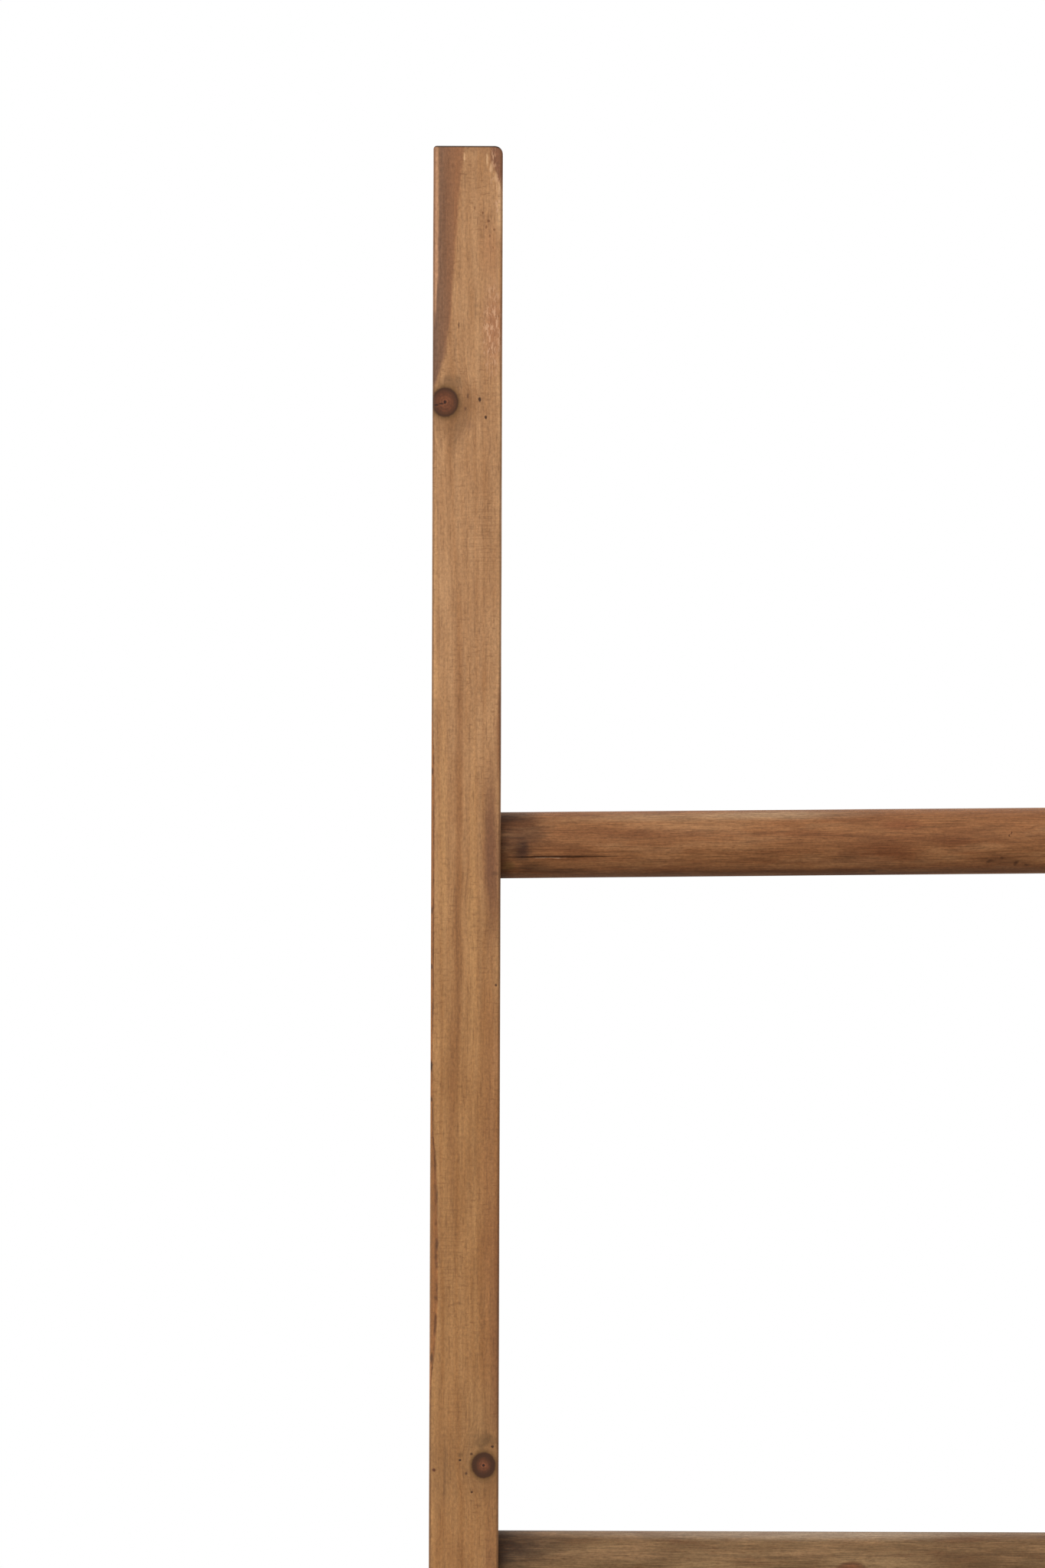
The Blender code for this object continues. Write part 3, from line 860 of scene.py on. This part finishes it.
# Marks on the rungs, in mm: down from the rung's line, back from it and along from the left rail.
RUNG_RUN = 2 * INNER_FACE / MM
# Both ends of every rung are darker where they meet the rails: partly stain gathered at the joint, partly
# painted shade of the joint.
JOINT_STAIN_AND_SHADE = [
    ((0, 0, -1), (60, 60, 8), "#3f2718", 0.65, 0.9),
    ((0, 0, RUNG_RUN + 1), (60, 60, 8), "#3f2718", 0.65, 0.9),
]
RUNG_MARKS = {
    1: [
        ((3.5, -13, 9), (5.5, 8, 6), "#3f2820", 0.85, 0.9),
        ((-2, -13, 9), (6, 8, 5), "#5a3826", 0.5, 0.9),
        ((9.5, -10, 13), (4.5, 8, 11), "#402617", 0.7, 0.9),
        ((8.8, -10, 3), (3, 8, 4), "#6f542f", 0.6, 0.8),
        # painted shade along the bottom of the rung near its left end
        ((11.2, -9, 28), (1.8, 8, 17), "#4f2f1c", 0.6, 0.8),
        ((5.5, -12, 40), (4.5, 8, 30), "#7a4a2c", 0.4, 0.9),
        ((5, -13, 165), (9, 10, 26), "#6b3b21", 0.6, 0.8),
        ((-7, -11, 172), (4, 8, 14), "#7a442a", 0.5, 0.8),
        ((6, -13, 149), (4, 6, 8), "#4f2f1c", 0.5, 0.9),
        ((1, -13, 196), (7, 10, 14), "#6b3b21", 0.45, 0.9),
        ((8, -11, 216), (5, 8, 13), "#5b3822", 0.5, 0.9),
        ((8.5, -11, 211), (1.3, 6, 1.6), "#402616", 0.7, 0.8),
        ((7.2, -12, 216), (1, 6, 1.4), "#402616", 0.6, 0.8),
        ((9.6, -10, 222), (1.8, 6, 1.6), "#402616", 0.7, 0.8),
        ((10.4, -9, 226.5), (1.2, 6, 1.4), "#402616", 0.6, 0.8),
        ((-3.4, -14, 220.3), (0.9, 4, 0.5), "#48291a", 0.85, 0.6),
        ((-2.3, -14, 219.5), (0.9, 4, 0.5), "#48291a", 0.85, 0.6),
        # painted highlight: a pale grey sheen along the top of the rung
        ((-11.5, -8, 70), (3, 8, 60), "#a88a68", 0.4, 0.9),
        ((-8.5, -11, 84), (6.5, 12, 40), "#b58a60", 0.35, 0.9),
        ((4.9, -13, 22), (0.45, 8, 28), "#2f1a10", 0.75, 0.7),
        # painted highlight on the lip just below the crack
        ((5.6, -13, 21.5), (0.28, 8, 9), "#c39c7e", 0.6, 0.5),
        # partly stain, partly painted shade: the left end darker where it meets the rail
        ((-6, -12, 6), (14, 30, 20), "#452a1b", 0.7, 0.6),
        ((0.5, -13, 10), (4, 8, 3.2), "#33201a", 0.6, 0.9),
        ((12.4, -6, 160), (0.7, 8, 2.4), "#3a2115", 0.8, 0.6),
        # partly stain, partly painted shade: the upper left end darker near the rail
        ((-10, -10, 34), (6, 9, 30), "#7a5334", 0.35, 0.9),
        # painted highlight: a pale grey sheen along the top of the rung
        ((-12, -7, 122), (3.6, 8, 50), "#b09574", 0.5, 0.9),
        # painted shade along the underside of the whole rung
        ((12.8, -6, 130), (2.4, 8, 260), "#462917", 0.55, 0.9),
        # partly stain, partly painted shade: the top of the left end darker near the rail
        ((-12.5, -6, 5), (5, 9, 15), "#3a281c", 0.75, 0.9),
    ],
    2: [
        # partly stain, partly painted shade: these two darken the left end where it meets the rail
        ((-7, -11, 3), (17, 30, 25), "#322319", 0.82, 0.8),
        ((-9.5, -9, 11), (11, 14, 37), "#3a291d", 0.72, 0.9),
        # painted highlight: a pale grey sheen along the top of the rung
        ((-13.5, -6, 135), (4, 14, 150), "#ab9780", 0.55, 0.9),
        ((-6, -12, 208), (17, 30, 44), "#5b4027", 0.5, 0.8),
        ((0, -13, 96), (9, 12, 30), "#a98860", 0.4, 0.8),
        ((2, -13, 165), (10, 10, 36), "#a0805b", 0.5, 0.6),
        ((3, -13, 152.4), (6, 9, 8.2), "#5c3723", 0.8, 0.3),
        ((3.6, -13, 152.4), (5, 9, 7), "#7d4f34", 0.9, 0.3),
    ],
    3: [
        ((-3, -13, 310), (7, 9, 9), "#52321f", 0.7, 0.6),
        ((4, -13, 70), (6, 9, 40), "#6b4326", 0.5, 0.9),
    ],
    4: [
        ((5, -12, 240), (6, 9, 55), "#66401f", 0.5, 0.9),
        ((-6, -12, 120), (4, 9, 18), "#52321f", 0.6, 0.8),
    ],
    5: [
        ((2, -13, 380), (6.5, 9, 8.5), "#52321f", 0.7, 0.6),
        ((-2, -13, 150), (8, 9, 60), "#7a4f2e", 0.5, 0.9),
    ],
}
RUNG_PITH = (30.0, 24.0)
RUNG_RING = 3.0
RUNG_INDEX = 1.22  # lower than the rails', because the stained pores are more open
RUNG_DARK = "#613a22"
RUNG_PALE = "#ad845d"
RUNG_COLOURS = {
    1: ("#966640", "#7b4d2e"),
    2: ("#866948", "#694d32"),
    3: ("#966740", "#764b2a"),
    4: ("#91613a", "#724624"),
    5: ("#916843", "#734e2d"),
}


def rung_wood(number):
    """Stained and waxed turned acacia: open dark pores in short dashes along a brown ground."""
    material, tree = finish_of(f"stained_acacia_{number}")
    left, right = rung_line(number)
    start = left + (right - left) * ((-INNER_FACE - left.x) / (right.x - left.x))
    mm = in_mm(tree, start, turn=rung_turn(number) - math.pi / 2)
    colour, seeded = wood_ground(tree, mm, RUNG_PITH, number * 1.7, RUNG_RING, *RUNG_COLOURS[number])
    colour = lay_marks(tree, colour, ragged(tree, mm, 2.0, 1.4, 3.0), [*JOINT_STAIN_AND_SHADE, *RUNG_MARKS[number]])
    blotches = mottled(tree, seeded, (0.13, 0.13, 0.025), 5.0, 0.65)  # 8 by 40 mm
    dark = add(tree, "MapRange", blotches, 0.5, 0.7, 0.0, 0.45)
    colour = add(tree, "Mix", dark, colour, RUNG_DARK)
    pale = add(tree, "MapRange", blotches, 0.5, 0.3, 0.0, 0.3)
    colour = add(tree, "Mix", pale, colour, RUNG_PALE)
    colour, fibres = drawn_grain(tree, colour, seeded, 2.2, 2.6, 0.38, 0.14, 0.55)
    return waxed(material, colour, fibres, RUNG_INDEX)


for number in range(1, 6):
    shape = rung_bar(number)
    onto_line(shape, number, "right")
    rung = piece(f"rung_{number}_bar", shape, rung_wood(number))
    if number == 1:
        cut(rung, [drying_crack()])
    smooth(rung)
    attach(rung, "root")
    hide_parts(f"rung_{number}")

# --- Plugs -----------------------------------------------------------------------------------------
# Ten short dowels cut from the rail's wood, glued over the screw heads and sanded nearly flush with the
# rails' outer faces, so that they show end grain.

PLUG_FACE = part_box("rung_2_right_plug")[1].x
PLUG_EDGE = 0.35 * MM
PLUG_CROWN = 0.12 * MM
PLUG_SIDES = 64
PLUG_COLOURS = ("#a0744a", "#7f5836")
PLUG_PORES = "#3d2414"
PLUG_INDEX = 1.4
RING_SLOPE = (0, 0.5, 0.86)  # the way across the plug's growth rings


def plug_bar():
    """A plug along X with a softened rim and a slightly crowned face."""
    bottom = HEAD_FACE + GLUE
    profile = [
        (bottom, 0.0),
        (bottom, PLUG_RADIUS - PLUG_EDGE),
        (bottom + PLUG_EDGE, PLUG_RADIUS),
        (PLUG_FACE - PLUG_CROWN - PLUG_EDGE, PLUG_RADIUS),
    ]
    for step in range(1, 4):
        lean = math.radians(30 * step)
        edge = PLUG_FACE - PLUG_CROWN - PLUG_EDGE * (1 - math.sin(lean))
        profile.append((edge, PLUG_RADIUS - PLUG_EDGE * (1 - math.cos(lean))))
    for share in (0.75, 0.5, 0.25, 0.0):
        profile.append((PLUG_FACE - PLUG_CROWN * share**2, share * (PLUG_RADIUS - PLUG_EDGE)))
    return turned(profile, PLUG_SIDES)


def plug_wood():
    """Waxed end grain: close arcs of growth rings, with dark pores."""
    material, tree = finish_of("waxed_end_grain")
    mm = in_mm(tree, Vector((0, 0, 0)))
    flat = add(tree, "VectorMath.MULTIPLY", mm, (0, 1, 1))
    bent = ragged(tree, flat, 9.0, 5.0, 1.0)
    across = add(tree, "VectorMath.DOT_PRODUCT", bent, RING_SLOPE).node.outputs["Value"]
    rings = add(tree, "TexNoise", across, 0.8, 2.0, 0.6, noise_dimensions="1D")
    share = add(tree, "MapRange", rings, 0.35, 0.65, 0.0, 1.0)
    colour = add(tree, "Mix", share, *PLUG_COLOURS)
    pores = add(tree, "TexVoronoi", flat, 2.2)
    share = add(tree, "MapRange", pores, 0.05, 0.28, 0.5, 0.0)
    colour = add(tree, "Mix", share, colour, PLUG_PORES)
    return waxed(material, colour, pores, PLUG_INDEX)


end_grain = plug_wood()
for number in range(1, 6):
    for side in ("left", "right"):
        shape = plug_bar()
        onto_line(shape, number, side)
        plug = piece(f"rung_{number}_{side}_dowel", shape, end_grain)
        smooth(plug)
        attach(plug, "root")
        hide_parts(f"rung_{number}_{side}_plug")

# --- Screws ----------------------------------------------------------------------------------------
# Ten countersunk wood screws, hidden behind the plugs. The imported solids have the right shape, so only
# their finish is new.

ZINC_COLOURS = ("#b9bec6", "#cbc4ae")
ZINC_ROUGHNESS = (0.22, 0.5)
SCUFF_DEPTH = 0.05 * MM


def zinc_plate():
    """Bright zinc plate: bluish and yellowish clouds, and fine scuffs that dull it."""
    material, tree = finish_of("bright_zinc_plate")
    mm = in_mm(tree, Vector((0, 0, 0)))
    clouds = add(tree, "TexNoise", mm, 0.35, 3.0, 0.6)  # 3 mm
    share = add(tree, "MapRange", clouds, 0.35, 0.65, 0.0, 1.0)
    colour = add(tree, "Mix", share, *ZINC_COLOURS)
    scuffs = add(tree, "TexNoise", mm, 5.0, 4.0, 0.7)  # 0.2 mm
    roughness = add(tree, "MapRange", scuffs, 0.35, 0.7, *ZINC_ROUGHNESS)
    bump = add(tree, "Bump", 0.2, SCUFF_DEPTH, None, scuffs)
    return surface(material, add(tree, "BsdfPrincipled", colour, 1.0, roughness, 1.5, 1.0, bump))


zinc = zinc_plate()
for number in range(1, 6):
    for side in ("left", "right"):
        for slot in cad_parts[f"rung_{number}_{side}_screw"].material_slots:
            slot.material = zinc

# --- Feet ------------------------------------------------------------------------------------------
# Two moulded rubber pads under the rails, with a softened rim and a tread of shallow pockets below.

FOOT_RIM = 0.6 * MM
TREAD_RIB = 0.9 * MM
TREAD_DEPTH = 0.5 * MM
TREAD_DRAFT = 0.1 * MM
TREAD_COLUMNS = 3
TREAD_ROWS = 5
SMALLEST_POCKET = 20 * MM**2
RUBBER_COLOURS = ("#1d1c1c", "#4a4642")  # clean and dusty
RUBBER_ROUGHNESS = 0.72
RUBBER_GRAIN = 0.08 * MM


def foot_pad(low, high):
    """A pad with rounded edges and pockets in its underside."""
    pad = block(low, high)
    ease(pad, list(pad.edges), FOOT_RIM, ARRIS_STEPS)
    for axis, count in ((0, TREAD_COLUMNS), (1, TREAD_ROWS)):
        start = low[axis] + FOOT_RIM
        end = high[axis] - FOOT_RIM
        split(pad, axis, steps(start, end, (end - start) / count))
    pad.normal_update()
    under = [face for face in pad.faces if face.normal.z < -0.99 and face.calc_area() > SMALLEST_POCKET]
    bmesh.ops.inset_individual(pad, faces=under, thickness=TREAD_RIB)
    bmesh.ops.inset_individual(pad, faces=under, thickness=TREAD_DRAFT, depth=-TREAD_DEPTH)
    return pad


def moulded_rubber():
    """Matt black rubber: a fine moulded grain, greyed a little with dust."""
    material, tree = finish_of("moulded_black_rubber")
    mm = in_mm(tree, Vector((0, 0, 0)))
    dust = add(tree, "TexNoise", mm, 0.25, 4.0, 0.6)  # 4 mm
    share = add(tree, "MapRange", dust, 0.45, 0.7, 0.0, 0.6)
    colour = add(tree, "Mix", share, *RUBBER_COLOURS)
    grain = add(tree, "TexNoise", mm, 4.0, 2.0, 0.5)  # 0.25 mm
    bump = add(tree, "Bump", 0.5, RUBBER_GRAIN, None, grain)
    return surface(material, add(tree, "BsdfPrincipled", colour, 0.0, RUBBER_ROUGHNESS, 1.5, 1.0, bump))


rubber = moulded_rubber()
for side in ("left", "right"):
    foot = piece(f"{side}_foot_pad", foot_pad(*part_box(f"{side}_foot")), rubber)
    smooth(foot)
    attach(foot, "root")
    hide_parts(f"{side}_foot")

# --- Wall bumpers ----------------------------------------------------------------------------------
# Two discs cut from thick wool felt, stuck on the backs of the rails near the top, where the rack meets
# the wall. Their edges are soft and a little hairy.

FELT_RIM = 0.9 * MM
FELT_SIDES = 72
FELT_FUZZ = 0.12 * MM
FUZZ_WAVES = 900
FELT_CUT = 0.3 * MM  # slope of the cut edge at the glued side
FELT_COLOURS = ("#4d3624", "#80644a")
FELT_ROUGHNESS = 0.95
FELT_RELIEF = 0.3 * MM
FELT_SHEEN = 0.4


def felt_disc(low, high):
    """A disc with a soft rim, turned along X, then faced to the back and roughened."""
    thick = high.y - low.y
    radius = (high.x - low.x) / 2 - FELT_FUZZ
    profile = [(0.0, 0.0)]
    profile += [(0.0, radius * share) for share in (0.25, 0.5, 0.75)]
    profile += [(0.0, radius - FELT_CUT), (FELT_CUT, radius), (thick - FELT_RIM, radius)]
    for step in range(1, 5):
        lean = math.radians(22.5 * step)
        profile.append((thick - FELT_RIM * (1 - math.sin(lean)), radius - FELT_RIM * (1 - math.cos(lean))))
    profile += [(thick, radius * share) for share in (0.75, 0.5, 0.25, 0.0)]
    disc = turned(profile, FELT_SIDES)
    bmesh.ops.rotate(disc, matrix=Matrix.Rotation(math.pi / 2, 3, "Z"), verts=disc.verts)
    centre = (low + high) / 2
    bmesh.ops.translate(disc, vec=(centre.x, low.y, centre.z), verts=disc.verts)
    disc.normal_update()
    for vert in disc.verts:
        if vert.co.y > low.y + WELD:
            vert.co -= vert.normal * FELT_FUZZ * (0.5 + 0.5 * noise.noise(vert.co * FUZZ_WAVES))
    return disc


def wool_felt():
    """Pressed brown wool felt: matted fibres in lighter and darker browns, with a soft sheen."""
    material, tree = finish_of("pressed_wool_felt")
    mm = in_mm(tree, Vector((0, 0, 0)))
    bent = ragged(tree, mm, 1.5, 2.5, 1.0)
    fibres = add(tree, "TexNoise", bent, 2.4, 4.0, 0.75)  # 0.4 mm
    share = add(tree, "MapRange", fibres, 0.35, 0.65, 0.0, 1.0)
    colour = add(tree, "Mix", share, *FELT_COLOURS)
    bump = add(tree, "Bump", 0.7, FELT_RELIEF, None, fibres)
    shader = add(tree, "BsdfPrincipled", colour, 0.0, FELT_ROUGHNESS, 1.4, 1.0, bump)
    shader.node.inputs["Sheen Weight"].default_value = FELT_SHEEN
    return surface(material, shader)


felt = wool_felt()
for side in ("left", "right"):
    bumper = piece(f"{side}_felt_disc", felt_disc(*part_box(f"{side}_wall_bumper")), felt)
    smooth(bumper)
    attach(bumper, "root")
    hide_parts(f"{side}_wall_bumper")

# --- Studio ----------------------------------------------------------------------------------------
# A pale floor in a white room, with a large soft light in front on the left and one behind on the right.

FLOOR_REACH = 20.0
FLOOR_TONES = ("#f9f9f8", "#fcfcfc")
FLOOR_ROUGHNESS = 0.8
FLOOR_BOUNCE = "#8f8c88"  # the floor gives back less light than it shows, so undersides stay dark
FLOOR_GLOW = 0.1  # it is lit from below like a light table, so it meets the white room without a line
ROOM_WHITE = "#ffffff"
ROOM_LIGHT = (0.45, 1.05)  # from low down to high up
LAMP_SIZE = 2.2
KEY_POWER = 60
BACK_POWER = 40
CAMERA_DISTANCE = 8.0
CAMERA_RIGHT = 39.3 * MM  # of the left rail's outer face
CAMERA_DROP = 274.8 * MM  # below the rails' tops
VIEW_HEIGHT = 675.2 * MM  # of the front of the rack that fills the picture
CAMERA_ROLL = math.radians(-0.19)
SENSOR = 36.0

scene = bpy.context.scene
scene.view_settings.view_transform = "Standard"

floor_shape = bmesh.new()
bmesh.ops.create_grid(floor_shape, x_segments=1, y_segments=1, size=FLOOR_REACH)
material, tree = finish_of("matt_white_floor_paint")
speckle = add(tree, "TexNoise", add(tree, "TexCoord").node.outputs["Object"], 40.0, 3.0)
tone = add(tree, "Mix", speckle, *FLOOR_TONES)
seen = add(tree, "LightPath").node.outputs["Is Camera Ray"]
tone = add(tree, "Mix", seen, FLOOR_BOUNCE, tone)
shader = add(tree, "BsdfPrincipled", tone, 0.0, FLOOR_ROUGHNESS)
shader.node.inputs["Emission Color"].default_value = hex_colour(ROOM_WHITE)
shader.node.inputs["Emission Strength"].default_value = FLOOR_GLOW
floor = piece("studio_floor", floor_shape, surface(material, shader))

world = bpy.data.worlds.new("white_room")
scene.world = world
world.use_nodes = True
tree = world.node_tree
tree.nodes.remove(tree.nodes["Background"])
height = add(tree, "SeparateXYZ", add(tree, "TexCoord").node.outputs["Generated"]).node.outputs["Z"]
strength = add(tree, "MapRange", height, -0.6, 0.8, *ROOM_LIGHT)
room = add(tree, "Background", ROOM_WHITE, strength)
white = add(tree, "Background", ROOM_WHITE, 1.0)
seen = add(tree, "LightPath").node.outputs["Is Camera Ray"]
tree.links.new(add(tree, "MixShader", seen, room, white), tree.nodes["World Output"].inputs["Surface"])


def soft_light(name, place, aim, power):
    """A large square light that looks at a point and isn't seen itself."""
    data = bpy.data.lights.new(name, "AREA")
    data.shape = "RECTANGLE"
    data.size = LAMP_SIZE
    data.size_y = LAMP_SIZE
    data.energy = power
    lamp = bpy.data.objects.new(name, data)
    lamp.visible_camera = False
    scene.collection.objects.link(lamp)
    lamp.location = place
    lamp.rotation_euler = (Vector(aim) - Vector(place)).to_track_quat("-Z", "Y").to_euler()


soft_light("key_light", (-1.6, -3.2, 3.0), (0, 0, 1.1), KEY_POWER)
soft_light("back_light", (1.5, 3.0, 3.0), (0, 0, 1.0), BACK_POWER)

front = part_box("left_rail")[0]
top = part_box("left_rail")[1].z
camera_data = bpy.data.cameras.new("front_camera")
camera_data.sensor_width = SENSOR
camera_data.lens = CAMERA_DISTANCE * SENSOR / VIEW_HEIGHT
camera = bpy.data.objects.new("front_camera", camera_data)
scene.collection.objects.link(camera)
camera.location = (front.x + CAMERA_RIGHT, front.y - CAMERA_DISTANCE, top - CAMERA_DROP)
level = Matrix.Rotation(math.pi / 2, 3, "X")
camera.rotation_euler = (Matrix.Rotation(CAMERA_ROLL, 3, "Y") @ level).to_euler()
scene.camera = camera
